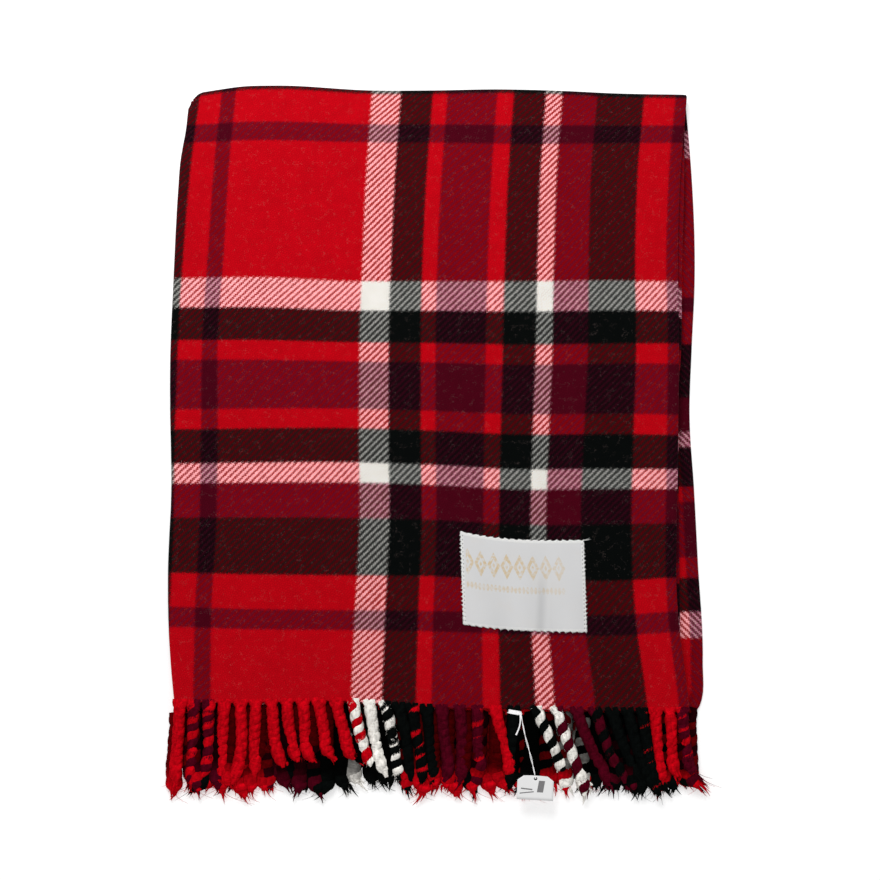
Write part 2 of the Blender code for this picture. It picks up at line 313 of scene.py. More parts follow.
class Finish:
    """A material on a Principled shader, and the nodes that feed it."""

    def __init__(self, name, roughness, **constants):
        self.material = bpy.data.materials.new(name)
        self.material.use_nodes = True
        self.tree = self.material.node_tree
        self.shader = self.tree.nodes["Principled BSDF"]
        self.shader.inputs["Roughness"].default_value = roughness
        for socket, value in constants.items():
            self.shader.inputs[socket.replace("_", " ")].default_value = value

    def node(self, kind, settings=None, inputs=None, output=0):
        made = self.tree.nodes.new("ShaderNode" + kind)
        for name, value in (settings or {}).items():
            if name == "stops":
                self.set_stops(made.color_ramp, value)
            else:
                setattr(made, name, value)
        for key, value in (inputs or {}).items():
            if isinstance(value, Wire):
                self.tree.links.new(value.socket, made.inputs[key])
            else:
                made.inputs[key].default_value = value
        return Wire(self, made.outputs[output])

    def set_stops(self, ramp, stops):
        ramp.interpolation = "CONSTANT"
        while len(ramp.elements) < len(stops):
            ramp.elements.new(1.0)
        for element, (position, color) in zip(ramp.elements, stops):
            element.position = position
            element.color = (*color, 1.0)

    def feed(self, socket, wire):
        self.tree.links.new(wire.socket, self.shader.inputs[socket])

    def mix(self, factor, first, second, blend="MIX"):
        first = (*first, 1.0) if isinstance(first, tuple) else first
        second = (*second, 1.0) if isinstance(second, tuple) else second
        settings = {"data_type": "RGBA", "blend_type": blend}
        return self.node("Mix", settings, {0: factor, 6: first, 7: second}, 2)

    def times(self, color, amount):
        """The colour made darker or lighter by an amount."""
        return self.node("VectorMath", {"operation": "SCALE"}, {0: color, "Scale": amount})

    def coordinates(self, name):
        """A map's two coordinates, and the whole vector."""
        place = self.node("UVMap", {"uv_map": name})
        parts = self.node("SeparateXYZ", None, {0: place})
        second = Wire(self, parts.socket.node.outputs[1])
        return parts, second, place

    def joined(self, x, y, z=0.0):
        return self.node("CombineXYZ", None, {0: x, 1: y, 2: z})

    def noise(self, place, scale, detail=2.0, rough=0.5):
        inputs = {"Vector": place, "Scale": scale, "Detail": detail, "Roughness": rough}
        return self.node("TexNoise", None, inputs)

    def glow(self, strength):
        """Light given off evenly, in white."""
        self.shader.inputs["Emission Color"].default_value = (1.0, 1.0, 1.0, 1.0)
        self.shader.inputs["Emission Strength"].default_value = strength

    def bump(self, height, strength, distance):
        wire = self.node("Bump", None, {"Height": height, "Strength": strength, "Distance": distance})
        self.feed("Normal", wire)


# What a yarn lets through where it lies under another
UNDER = {
    "red": (0.86, 0.35, 0.39),
    "maroon": (0.39, 0.10, 0.19),
    "black": (0.145, 0.155, 0.155),
    "cream": (0.63, 0.62, 0.61),
}
# How bright a yarn still shows in a crossing: in its fluff, its own colour, and on the crown of its cream
# floats, a painted highlight
FLUFF_AND_CROWN_HIGHLIGHT = {
    "fluff": {"red": 0.045, "maroon": 0.10, "black": 0.0, "cream": 0.030},
    "crown": {"red": 0.0, "maroon": 0.0, "black": 0.0, "cream": 0.44},
}


def shade(yarn, part):
    """A yarn's colour: plain, or its part in a crossing."""
    if part == "over":
        return tuple(channel / below for channel, below in zip(YARN[yarn], UNDER[yarn]))
    if part == "under":
        return UNDER[yarn]
    if part in FLUFF_AND_CROWN_HIGHLIGHT:
        return tuple(channel * FLUFF_AND_CROWN_HIGHLIGHT[part][yarn] for channel in YARN[yarn])
    return YARN[yarn]


def plan_stops(plan, part="plain"):
    """Colour stops for a loom plan."""
    total = sum(count for yarn, count in plan)
    stops = []
    reached = 0
    for yarn, count in plan:
        stops.append((reached / total, shade(yarn, part)))
        reached += count
    return stops


def brushed_twill():
    """Woollen 2/2 twill with a raised nap, coloured by the loom plan."""
    finish = Finish("brushed_twill", 0.95, Sheen_Weight=0.01, Sheen_Roughness=0.5, Specular_IOR_Level=0.03)
    end, pick, place = finish.coordinates("weave")
    drift = finish.noise(place, 0.55, 3.0, 0.6) - 0.5
    shifted = finish.node("VectorMath", {"operation": "ADD"}, {0: place, 1: (37.0, 91.0, 0.0)})
    other_drift = finish.noise(shifted, 0.55, 3.0, 0.6) - 0.5
    haze = finish.noise(place, 2.6, 2.0, 0.7) - 0.5
    other_haze = finish.noise(shifted, 2.6, 2.0, 0.7) - 0.5
    end = end + drift * 1.5 + haze * 2.4
    pick = pick + other_drift * 1.5 + other_haze * 2.4
    warp_row = end.floor()
    weft_row = pick.floor()
    turn = (warp_row + weft_row) % 4.0
    warp_up = (turn < 1.5) * (abs(end.fract() - 0.5) < 0.44)
    warp_float = (turn + pick.fract()) * (math.pi / 2)
    weft_float = (turn - 2.0 + end.fract()) * (math.pi / 2)
    warp_round = ((end.fract() - 0.5) * math.pi).cos()
    weft_round = ((pick.fract() - 0.5) * math.pi).cos()
    warp_height = (warp_float.sin() * warp_round).at_least(0.0)
    weft_height = (weft_float.sin() * weft_round).at_least(0.0)
    height = weft_height + warp_up * (warp_height - weft_height)

    warp_at = ((end + haze * 5.0).floor() + 0.5) / float(ENDS)
    weft_at = ((pick + other_haze * 5.0).floor() + 0.5) / float(PICKS)
    shades = {}
    for name, at, plan in (("warp", warp_at, WARP_PLAN), ("weft", weft_at, WEFT_PLAN)):
        for part in ("over", "under", "fluff", "crown"):
            stops = plan_stops(plan, part)
            shades[name, part] = finish.node("ValToRGB", {"stops": stops}, {0: at})
    warp_shade = finish.mix(1.0, shades["warp", "over"], shades["weft", "under"], "MULTIPLY")
    weft_shade = finish.mix(1.0, shades["weft", "over"], shades["warp", "under"], "MULTIPLY")
    warp_shade = finish.mix(1.0, warp_shade, shades["weft", "fluff"], "LIGHTEN")
    weft_shade = finish.mix(1.0, weft_shade, shades["warp", "fluff"], "LIGHTEN")
    # Painted highlight: the crowns of the cream floats are lifted towards a brighter cream
    crown_highlight_mask = height.smooth(0.30, 0.85)
    warp_shade = finish.mix(crown_highlight_mask, warp_shade, shades["warp", "crown"], "LIGHTEN")
    weft_shade = finish.mix(crown_highlight_mask, weft_shade, shades["weft", "crown"], "LIGHTEN")
    color = finish.mix(warp_up, weft_shade, warp_shade)

    nap = finish.noise(place, 2.2, 4.0, 0.65)
    felt = finish.noise(place, 0.11, 3.0, 0.6)
    cloud = finish.noise(place, 0.02, 2.0)
    # Painted shade: the colour is darkened in the hollows between the floats, where the yarn lies low; nap,
    # felt and cloud then add tone that varies at random
    depth = 0.74 + 0.26 * height.smooth(0.05, 0.70)
    depth = depth * (0.84 + 0.60 * nap) * (0.92 + 0.32 * felt) * (0.94 + 0.12 * cloud)
    color = finish.times(color, depth)
    strands = abs(finish.noise(place, 0.34, 2.0, 0.7) - 0.5) < 0.007
    some = finish.noise(shifted, 0.23, 2.0) > 0.56
    color = finish.mix(strands * some * 0.10, color, (0.55, 0.40, 0.38))
    finish.feed("Base Color", color)
    relief = height * 0.55 + nap * 0.45 + felt * 0.5
    finish.bump(relief, 0.55, 0.0009)
    return finish.material


def twisted_wool():
    """The yarn of the tassels: each strand keeps the colour of its warp ends, with painted shade along its
    sides and deep in the fringe.
    """
    finish = Finish("twisted_wool", 0.95, Specular_IOR_Level=0.02)
    end, light = finish.coordinates("weave")[:2]
    around, lay = finish.coordinates("lay")[:2]
    stops = plan_stops(WARP_PLAN)
    spiral = (around * math.pi + lay * 420.0).sin() * 1.3
    stray = finish.noise(finish.joined(around * 22.0, lay * 300.0, end * 0.7), 1.0, 3.0, 0.7) - 0.5
    taken = (end + spiral + stray * 6.0).floor() + 0.5
    color = finish.node("ValToRGB", {"stops": stops}, {0: taken / float(ENDS)})
    fibre_place = finish.joined(around * 6.0, lay * 170.0, end)
    fibres = finish.noise(fibre_place, 1.0, 3.0, 0.6)
    fluff = finish.noise(finish.joined(around * 2.0, lay * 700.0, end * 3.1), 1.0, 3.0, 0.65)
    clump = finish.noise(finish.joined(around, lay * 60.0, end * 1.7), 1.0, 2.0)
    depth = (1.04 + 2.0 * (fibres - 0.5)) * (1.04 + 1.3 * (fluff - 0.5)) * (0.90 + 0.20 * clump)
    # Painted shade: each strand is darker along its two sides, and darker still where the light coordinate
    # paints shade deep in the fringe
    depth = depth * (0.60 + 0.46 * (around * math.pi).sin()) * light
    finish.feed("Base Color", finish.times(color, depth))
    finish.bump(fibres * 0.6 + fluff * 0.5, 0.6, 0.0012)
    return finish.material


def label_satin():
    """White satin ribbon with a faded gold ornament: a row of lozenges over a thin beaded line."""
    finish = Finish("label_satin", 0.42, Sheen_Weight=0.1, Specular_IOR_Level=0.35)
    across, up, place = finish.coordinates("panel")
    weft = (up * 950.0 * math.pi).sin()
    warp = (across * 700.0 * math.pi).sin()
    stain = finish.noise(place, 3.0, 3.0, 0.6)
    worn = finish.noise(place, 26.0, 3.0, 0.7).smooth(0.30, 0.62)
    cell = (across * 9.5 % 1.0) - 0.5
    lozenge = abs(cell) * 0.9 + abs(up - 0.69) * 3.1
    row = (lozenge < 0.44) * (1.0 - (lozenge < 0.21)) + (lozenge < 0.10)
    bead = ((across * 31.0 % 1.0) - 0.5) * ((across * 31.0 % 1.0) - 0.5) * 5.0 + abs(up - 0.44) * 26.0
    line = bead < 1.0
    inside = (across > 0.04) * (across < 0.84)
    fading = 1.0 - across.smooth(0.35, 1.05) * 0.55
    gold = (row * 0.80 + line * 0.55) * inside * worn * fading
    ground = finish.mix(stain.smooth(0.45, 0.8) * 0.30, (0.855, 0.855, 0.860), (0.87, 0.81, 0.73))
    color = finish.mix(gold, ground, (0.80, 0.58, 0.28))
    edge = (abs(up - 0.5) > 0.468) + (abs(across - 0.5) > 0.476)
    color = finish.mix(edge.smooth(0.0, 1.0) * 0.7, color, (0.98, 0.98, 0.96))
    # Painted shade: a darker streak along a crease in the lower part, and faint lighter and darker stripes
    # across the ripples
    crease = (1.0 - abs(across - 0.62 - up * 0.06).smooth(0.0, 0.06)) * (1.0 - up.smooth(0.35, 0.75))
    ripple = (across * 17.0 + up * 1.5).sin() * (1.0 - up)
    color = finish.times(color, 0.97 + 0.02 * weft + 0.02 * warp - crease * 0.13 + ripple * 0.03)
    finish.feed("Base Color", color)
    finish.bump(weft * 0.5 + warp * 0.4 + stain * 3.0, 0.25, 0.00025)
    return finish.material


def sewing_thread(name, color):
    """Smooth thread with a fine ply, whose grooves get painted shade. White thread is given a little glow,
    painted light that makes it brighter.
    """
    finish = Finish(name, 0.6, Specular_IOR_Level=0.3)
    around, lay = finish.coordinates("lay")[:2]
    ply = ((lay * 5200.0) + around * 6.283).sin()
    fuzz = finish.noise(finish.joined(around * 3.0, lay * 900.0), 1.0, 2.0)
    # Painted shade in the grooves between the plies
    finish.feed("Base Color", finish.times(color, 0.90 + 0.06 * ply + 0.12 * fuzz))
    # Painted light: a glow that grows with the thread's whiteness
    finish.glow(0.26 * color[0] ** 2)
    finish.bump(ply, 0.5, 0.0002)
    return finish.material


def ticket_card_finish():
    """Smooth white card printed with a plain dark block and two plain lines."""
    finish = Finish("ticket_card", 0.5, Specular_IOR_Level=0.3)
    across, up, place = finish.coordinates("panel")
    grain = finish.noise(place, 40.0, 3.0)
    tilt = across - up * 0.10
    block = (abs(tilt - 0.60) < 0.085) * (abs(up - 0.56) < 0.24)
    first = (abs(tilt - 0.22) < 0.16) * (abs(up + tilt * 0.10 - 0.46) < 0.028)
    second = (abs(tilt - 0.24) < 0.19) * (abs(up - tilt * 0.22 - 0.24) < 0.024)
    ink = (block + first + second) * (0.80 + 0.2 * grain)
    color = finish.mix(ink, (1.0, 1.0, 1.0), (0.085, 0.080, 0.085))
    finish.feed("Base Color", finish.times(color, 0.97 + 0.06 * grain))
    # Painted light: the card is given a faint glow
    finish.glow(0.06)
    finish.bump(grain, 0.1, 0.0001)
    return finish.material


def plain_floor():
    finish = Finish("plain_floor", 0.9, Specular_IOR_Level=0.0)
    finish.shader.inputs["Base Color"].default_value = (0.90, 0.90, 0.90, 1.0)
    finish.glow(0.44)
    return finish.material


# ---------------------------------------------------------------- mesh making

def mesh_piece(name, points, faces, finish, maps):
    """A mesh object. Each map gives two coordinates for each point."""
    mesh = bpy.data.meshes.new(name)
    mesh.from_pydata([tuple(p) for p in points], [], faces)
    corners = np.zeros(len(mesh.loops), int)
    mesh.loops.foreach_get("vertex_index", corners)
    for map_name, values in maps.items():
        layer = mesh.uv_layers.new(name=map_name)
        chosen = np.asarray(values, np.float32)
        if len(chosen) != len(corners):
            chosen = chosen[corners]
        layer.data.foreach_set("uv", chosen.ravel())
    mesh.materials.append(finish)
    mesh.shade_smooth()
    piece = bpy.data.objects.new(name, mesh)
    bpy.context.scene.collection.objects.link(piece)
    return piece


def outline(index):
    """The numbers round the edge of a grid of points, in order."""
    return [*index[:, 0], *index[-1, 1:], *index[-2::-1, -1], *index[0, -2:0:-1]]


def faced(face, size):
    """A face and the one behind it, on the other side of a thin sheet."""
    return [face, tuple(corner + size for corner in reversed(face))]


class Spinner:
    """Gathers round strands into one mesh."""

    def __init__(self):
        self.points = []
        self.faces = []
        self.weave = []
        self.lay = []
        self.count = 0

    def spin(self, path, wide, high, thread=0.0, sides=8, light=1.0):
        """A strand along a path, with its half width and half height at each point."""
        path = np.asarray(path, float)
        rings = len(path)
        wide = np.broadcast_to(np.asarray(wide, float), (rings,))
        high = np.broadcast_to(np.asarray(high, float), (rings,))
        tangent = np.gradient(path, axis=0)
        tangent /= np.linalg.norm(tangent, axis=1, keepdims=True) + 1e-12
        up = np.array([0.0, 0.0, 1.0])
        side = np.cross(tangent, up)
        weak = np.linalg.norm(side, axis=1) < 1e-3
        side[weak] = (1.0, 0.0, 0.0)
        side /= np.linalg.norm(side, axis=1, keepdims=True)
        lift = np.cross(side, tangent)
        angle = np.arange(sides) * 2 * math.pi / sides
        ring = side[:, None] * (np.cos(angle) * wide[:, None])[..., None]
        ring = ring + lift[:, None] * (np.sin(angle) * high[:, None])[..., None]
        points = (path[:, None] + ring).reshape(-1, 3)
        reach = np.concatenate([[0.0], np.cumsum(np.linalg.norm(np.diff(path, axis=0), axis=1))])
        first = self.count
        for row in range(rings - 1):
            for column in range(sides):
                a = first + row * sides + column
                b = first + row * sides + (column + 1) % sides
                self.faces.append((a, b, b + sides, a + sides))
        self.faces.append(tuple(first + column for column in reversed(range(sides))))
        last = first + (rings - 1) * sides
        self.faces.append(tuple(last + column for column in range(sides)))
        self.points.append(points)
        lights = np.repeat(np.broadcast_to(np.asarray(light, float), (rings,)), sides)
        self.weave.append(np.stack([np.full(rings * sides, float(thread)), lights], 1))
        around = np.tile(np.minimum(np.arange(sides), sides - np.arange(sides)) / sides * 2, rings)
        self.lay.append(np.stack([around, np.repeat(reach, sides)], 1))
        self.count += rings * sides

    def piece(self, name, finish):
        maps = {"weave": np.concatenate(self.weave), "lay": np.concatenate(self.lay)}
        return mesh_piece(name, np.concatenate(self.points), self.faces, finish, maps)


# ---------------------------------------------------------------- the cloth

def stations(total, middle, near, fine_step, flat_step):
    """Thread numbers across the cloth, close together near a fold."""
    before = np.linspace(0, middle - near, max(int((middle - near) / flat_step), 2), endpoint=False)
    fold_part = np.linspace(middle - near, middle + near, int(2 * near / fine_step), endpoint=False)
    after = np.linspace(middle + near, total, max(int((total - middle - near) / flat_step), 2))
    return np.concatenate([before, fold_part, after])


def hem_scallop(end, pick):
    """The pull of the tassels on the two hems."""
    near = np.exp(-np.minimum(pick, PICKS - pick) / 1.6)
    return near * -0.0016 * np.cos(2 * math.pi * (tassel_count(end) - 0.5))


# Which tassel a warp end goes into: the weaver has kept the cream ends together
TASSEL_STARTS = [
    (0, 0), (9, 83.5), (10, 95), (11, 107), (12, 117), (13, 127.5), (14, 138), (15, 148), (16, 156.5),
    (17, 164.5), (18, 172), (19, 180.5), (20, 190.3), (21, 200.2), (22, 210.8), (28, 269.5), (31, 295.5),
    (32, 303.0), (66, ENDS),
]
tassel_start = through(TASSEL_STARTS)
tassel_count = through([(end, number) for number, end in TASSEL_STARTS])


def woven_cloth(finish):
    """The whole throw: one sheet with a rounded rim, folded at the left and at the top."""
    ends = stations(ENDS, 312, 16, 0.6, 3.0)
    side = np.array([0.2, 0.4, 0.7, 1.0, 1.4, 1.8, 2.3, 2.9, 3.5, 4.2, 5, 6])
    close = FOLD_PICK + np.concatenate([-side[::-1], [0.0], side])
    hem = np.array([0.0, 0.7, 1.6, 3.0])
    before = np.linspace(6.0, FOLD_PICK - 8.0, 80)
    after = np.linspace(FOLD_PICK + 8.0, PICKS - 6.0, 80)
    picks = np.concatenate([hem, before, close, after, PICKS - hem[::-1]])
    end, pick = np.meshgrid(ends, picks, indexing="ij")
    middle = fold(end, pick)
    middle[..., 1] += hem_scallop(end, pick)
    across = -np.gradient(middle, axis=0)
    along = np.gradient(middle, axis=1)
    normal = np.cross(across, along)
    normal /= np.linalg.norm(normal, axis=-1, keepdims=True)
    thick = CLOTH / 2 * (1 - 0.25 * np.exp(-np.minimum(end, ENDS - end) / 1.5))
    right = middle + normal * thick[..., None]
    wrong = middle - normal * thick[..., None]
    wide, tall = end.shape
    size = wide * tall
    index = np.arange(size).reshape(wide, tall)
    faces = []
    for i in range(wide - 1):
        row = index[i], index[i + 1]
        for j in range(tall - 1):
            faces += faced((row[0][j], row[0][j + 1], row[1][j + 1], row[1][j]), size)
    ring = outline(index)
    flat_middle = middle.reshape(-1, 3)
    outward = np.zeros((wide, tall, 3))
    outward[0] = middle[0] - middle[1]
    outward[-1] = middle[-1] - middle[-2]
    outward[:, 0] += middle[:, 0] - middle[:, 1]
    outward[:, -1] += middle[:, -1] - middle[:, -2]
    push = outward.reshape(-1, 3)[ring]
    push /= np.linalg.norm(push, axis=1, keepdims=True) + 1e-12
    rim_points = flat_middle[ring] + push * CLOTH * 0.35
    first_rim = 2 * size
    rim_faces = []
    count = len(ring)
    for k in range(count):
        n = (k + 1) % count
        rim_faces.append((ring[k], ring[n], first_rim + n, first_rim + k))
        rim_faces.append((first_rim + k, first_rim + n, ring[n] + size, ring[k] + size))
    points = np.concatenate([right.reshape(-1, 3), wrong.reshape(-1, 3), rim_points])
    weave = np.stack([end, pick], -1).reshape(-1, 2)
    weave = np.concatenate([weave, weave, weave[ring]])
    return mesh_piece("woven_cloth", points, faces + rim_faces, finish, {"weave": weave})


# ---------------------------------------------------------------- tassels

# Half sizes of a strand at its root, where it is flat, and further down, and how far apart two lie
ROOT_WIDE, ROOT_HIGH, ROOT_APART = 0.0046, 0.0015, 0.0046
STRAND_WIDE, STRAND_HIGH, STRAND_APART = 0.0063, 0.0038, 0.0011
HIDDEN_STOUT = 1.32


def tassel(spinner, dice, root, thread, length, lean, curl, rest_height, twist, curved, depth):
    """Two strands twisted together, with loose locks at the tip. Wool deep in the fringe gets painted shade,
    darker towards the root by the depth given.
    """
    rings = 60
    t = np.linspace(0, 1, rings)
    # Painted shade: the hidden part of the tassel is darkened towards its root
    light = depth + (1 - depth) * ease((t * length - 0.063) / 0.022)
    stout = 1.0 if depth == 1 else HIDDEN_STOUT
    path = np.zeros((rings, 3))
    path[:, 0] = root[0] + length * (lean * (t + 0.25 * t ** 2) / 1.25 + curl * (t ** 2 - t))
    path[:, 0] += curved * length * np.clip(t - 0.72, 0, 1) ** 2
    path[:, 1] = root[1] - length * (t - 0.6 * abs(curved) * np.clip(t - 0.80, 0, 1) ** 2)
    path[:, 2] = root[2] + (rest_height - root[2]) * ease(t / 0.75)
    waver = dice.uniform(0, 6.28)
    path[:, 0] += 0.0018 * np.sin(waver + 6 * t) * t
    path[:, 2] += 0.0008 * np.sin(waver * 2 + 7 * t) * t
    tip = (1 - ease((t - 0.86) / 0.14) * 0.66) * (1 + 0.12 * ease((t - 0.5) / 0.3))
    phase = 2 * math.pi * twist * (t + 0.02 * np.sin(9 * t + waver)) + dice.uniform(0, 6.28)
    flare = ease(t / 0.14)
    apart = ROOT_APART + (STRAND_APART - ROOT_APART) * flare
    for strand in (0, 1):
        turn = phase + strand * math.pi
        fan = (strand * 2 - 1) * -ROOT_APART * (1 - flare)
        line = path.copy()
        line[:, 0] += fan + apart * flare * np.cos(turn) * (0.4 + 0.6 * tip)
        line[:, 2] += 0.0010 * np.sin(turn) * flare
        plump = 1 + 0.04 * np.sin(dice.uniform(0, 6.28) + 21 * t)
        wide = (ROOT_WIDE + (STRAND_WIDE - ROOT_WIDE) * flare) * tip * plump * stout
        high = (ROOT_HIGH + (STRAND_HIGH - ROOT_HIGH) * flare) * tip * plump
        spinner.spin(line, wide, high, thread[strand], 12, light)
    fray(spinner, dice, path, thread, lean + curved * 0.6)
    fuzz(spinner, dice, path, thread, light)


def fray(spinner, dice, path, thread, lean):
    """Loose locks and wisps at a tassel's tip."""
    for lock in range(15):
        start = int(len(path) * dice.uniform(0.80, 0.97))
        origin = path[start]
        fine = lock >= 8
        reach = dice.uniform(0.006, 0.017) if fine else dice.uniform(0.008, 0.017)
        heading = lean + dice.normal(0, 0.11)
        bow = dice.normal(0, 0.7 if fine else 0.22)
        s = np.linspace(0, 1, 9)
        line = np.zeros((9, 3))
        line[:, 0] = origin[0] + dice.normal(0, 0.0026) + reach * (heading * s + bow * s ** 2)
        line[:, 1] = origin[1] - reach * s * 0.95
        sink = max(origin[2] - 0.0022, 0.0)
        line[:, 2] = origin[2] + dice.normal(0, 0.0006) - sink * s ** 1.5 * dice.uniform(0.3, 0.8)
        line[:, 2] = np.maximum(line[:, 2], 0.0016)
        base = 0.00026 if fine else dice.uniform(0.0014, 0.0026)
        swell = 0.65 + 0.35 * np.sin(math.pi * np.clip(s * 1.6, 0, 1))
        body = base * (1 - s) ** 0.8 * swell + 0.00010
        spinner.spin(line, body, body * 0.7, thread[lock % 2], 6)


def fuzz(spinner, dice, path, thread, light):
    """Short stray hairs on a tassel, fewer where it lies hidden."""
    for hair in range(110 if light[0] == 1 else 50):
        ring = dice.integers(2, len(path) - 3)
        origin = path[ring]
        side = dice.choice([-1.0, 1.0])
        s = np.linspace(0, 1, 4)
        line = np.zeros((4, 3))
        reach = dice.uniform(0.0012, 0.0046)
        line[:, 0] = origin[0] + side * (0.0052 + reach * s * dice.uniform(0.1, 0.8))
        line[:, 1] = origin[1] - reach * s * dice.uniform(-0.6, 1.2)
        line[:, 2] = np.maximum(origin[2] + 0.0010 + reach * 0.3 * np.sin(2.4 * s), 0.0006)
        thick = 0.00022 * (1 - 0.7 * s)
        spinner.spin(line, thick, thick, thread[hair % 2], 3, light[ring])


# Each row of tassels: how they lean, how far they reach and how their tips curl, by place
FRONT_LEAN = through([
    (-0.31, -0.035), (-0.24, -0.07), (-0.215, -0.05), (-0.198, 0.09), (-0.16, 0.09), (-0.118, 0.24),
    (-0.08, 0.24), (-0.04, 0.20), (0.0, 0.12), (0.035, 0.06), (0.060, 0.12), (0.0715, 0.25),
    (0.085, 0.02), (0.102, -0.01), (0.113, 0.40), (0.138, 0.37), (0.18, 0.44), (0.226, 0.36),
    (0.249, 0.17), (0.268, 0.06), (0.30, 0.10),
])
FRONT_REACH = through([
    (-0.31, 0.104), (-0.27, 0.092), (-0.23, 0.100), (-0.20, 0.083), (-0.16, 0.076), (-0.118, 0.076),
    (-0.08, 0.092), (-0.04, 0.095), (0.035, 0.092), (0.0715, 0.086), (0.098, 0.098), (0.116, 0.078),
    (0.138, 0.103), (0.18, 0.090), (0.226, 0.099), (0.249, 0.103), (0.268, 0.087), (0.30, 0.086),
])
FRONT_CURL = through([
    (-0.33, 0.0), (-0.21, 0.0), (-0.19, 0.5), (-0.15, 1.1), (-0.12, 1.2), (-0.095, 0.4), (-0.07, 0.0),
    (0.24, 0.0), (0.27, 0.3), (0.3, 1.5),
])
# The hidden rows have slipped along under the front one. They show these yarns, two to a tassel:
# the inner rows from the left fold, the bottom row from the selvedge.
INNER_YARNS = dict(enumerate((
    "rm kk mm rr rr rr rr mm rr rr rr kk kk kk kk rk rr rr rr rr mr rr kk kk rk cr kc kk km km kk kr mr"
).split()))
LOWER_YARNS = dict(enumerate((
    "rr kr rr rr rr rm mm mm mk kk kk cc kk kk kr rr rr rk rr rr rr kr kk rr cc cr mk kk mk kk kk rk mm"
).split()))
BOTTOM_YARNS = dict(enumerate((
    "mr rm kk kk kk mk mm cc cc cr rr kk rr rr rr rm rr rr rr kk kk cc kk kk kk mm mm mm rr rr rr rm rr"
).split()))
# A few front tassels are twisted from their neighbours' yarns
FRONT_YARNS = {11: "rr", 15: "kk"}
# A warp end of each yarn
YARN_END = {"r": 235.0, "m": 132.0, "k": 41.0, "c": 186.0}
# How far the hidden rows reach
INNER_REACH = through([
    (-0.33, 0.094), (-0.24, 0.092), (-0.215, 0.070), (-0.10, 0.070), (-0.07, 0.088), (-0.03, 0.090),
    (0.05, 0.090), (0.2, 0.090), (0.33, 0.092),
])
LOWER_REACH = through([
    (-0.33, 0.096), (-0.245, 0.094), (-0.215, 0.090), (-0.15, 0.096), (-0.115, 0.094), (-0.07, 0.082),
    (-0.04, 0.086), (-0.02, 0.094), (0.07, 0.094), (0.1, 0.088), (0.2, 0.092), (0.33, 0.094),
])


def tassel_row(name, pick, first, last, rest_height, depth, yarns, seed, finish, split=False):
    """A hem's tassels on one layer. The row is one piece, or a piece for each tassel."""
    dice = np.random.default_rng(seed)
    pieces = []
    spinner = Spinner()
    count = int(last - first)
    wander = np.convolve(dice.normal(0, 0.30, count + 8), np.ones(5) / 4.0, "same")
    for number in range(count):
        start = float(tassel_start(first + number))
        finish_end = float(tassel_start(first + number + 1))
        middle_end = (start + finish_end) / 2
        root = fold(np.array(middle_end), np.array(pick))
        root += np.array([0.0, 0.0045, 0.0005])
        root[0] = max(root[0], LEFT_X + 0.0135)
        quarter = (finish_end - start) / 4
        thread = (middle_end - quarter, middle_end + quarter)
        if split:
            spinner = Spinner()
            lean = float(FRONT_LEAN(root[0])) + dice.normal(0, 0.02)
            length = float(FRONT_REACH(root[0])) * dice.uniform(0.98, 1.02)
            curved = float(FRONT_CURL(root[0]))
        else:
            lean = float(np.clip(wander[number + 4], -0.30, 0.30))
            length = float(LOWER_REACH(root[0])) * dice.uniform(0.92, 1.05)
            curved = dice.normal(0, 0.6)
            if pick < FOLD_PICK:
                length = float(INNER_REACH(root[0])) * dice.uniform(0.96, 1.04)
                lean = lean * 0.4
            outside = float(ease((root[0] - 0.265) / 0.05))
            lean += 0.22 * outside
            curved += 1.5 * outside
        if number in yarns:
            thread = tuple(YARN_END[letter] for letter in yarns[number])
        tassel(spinner, dice, root, thread, length, lean, dice.normal(0, 0.05),
               rest_height + dice.normal(0, 0.0005), dice.uniform(4.0, 5.0), curved, depth)
        if split:
            pieces.append(spinner.piece("%s_%02d" % (name, number + 1), finish))
    if not split:
        pieces.append(spinner.piece(name, finish))
    return pieces


# ---------------------------------------------------------------- label, thread, ticket

LABEL_CORNERS = {
    "top_left": (0.0321, -0.1236),
    "top_right": (0.1822, -0.1345),
    "bottom_right": (0.1841, -0.2451),
    "bottom_left": (0.0355, -0.2355),
}


def label_point(across, up):
    """A place on the label, from its left to right edge and from its bottom to its top."""
    corner = {name: np.array(place) for name, place in LABEL_CORNERS.items()}
    across, up = np.asarray(across, float), np.asarray(up, float)
    top = corner["top_left"] + (corner["top_right"] - corner["top_left"]) * across[..., None]
    low = corner["bottom_left"] + (corner["bottom_right"] - corner["bottom_left"]) * across[..., None]
    place = low + (top - low) * up[..., None]
    sag = np.sin(math.pi * across ** 0.8) * (0.0030 + 0.0022 * up)
    edge = np.exp(-np.minimum(up, 1 - up) / 0.02) * 0.0006
    side = np.exp(-np.minimum(across, 1 - across) / 0.02) * 0.0006
    place[..., 1] += -sag + edge * np.sin(across * 2 * math.pi * 17) * np.sign(up - 0.5)
    place[..., 0] += side * np.sin(up * 2 * math.pi * 21) * np.sign(across - 0.5)
    crease = 0.00035 * np.exp(-((across - 0.70 - 0.02 * up) / 0.012) ** 2) * (1 - up)
    crease = crease + 0.00030 * np.exp(-((across - 0.62) / 0.010) ** 2) * (1 - up)
    crease = crease + 0.00028 * np.sin(across * 31 + 2 * up) * np.sin(up * 5 + across * 4)
    hug = np.exp(-np.minimum(np.minimum(across, 1 - across), np.minimum(up, 1 - up)) / 0.015)
    lift = 0.0009 + crease + 0.0006 * (1 - hug)
    z = front_height(place[..., 0], place[..., 1]) + lift
    return np.concatenate([place, z[..., None]], -1)


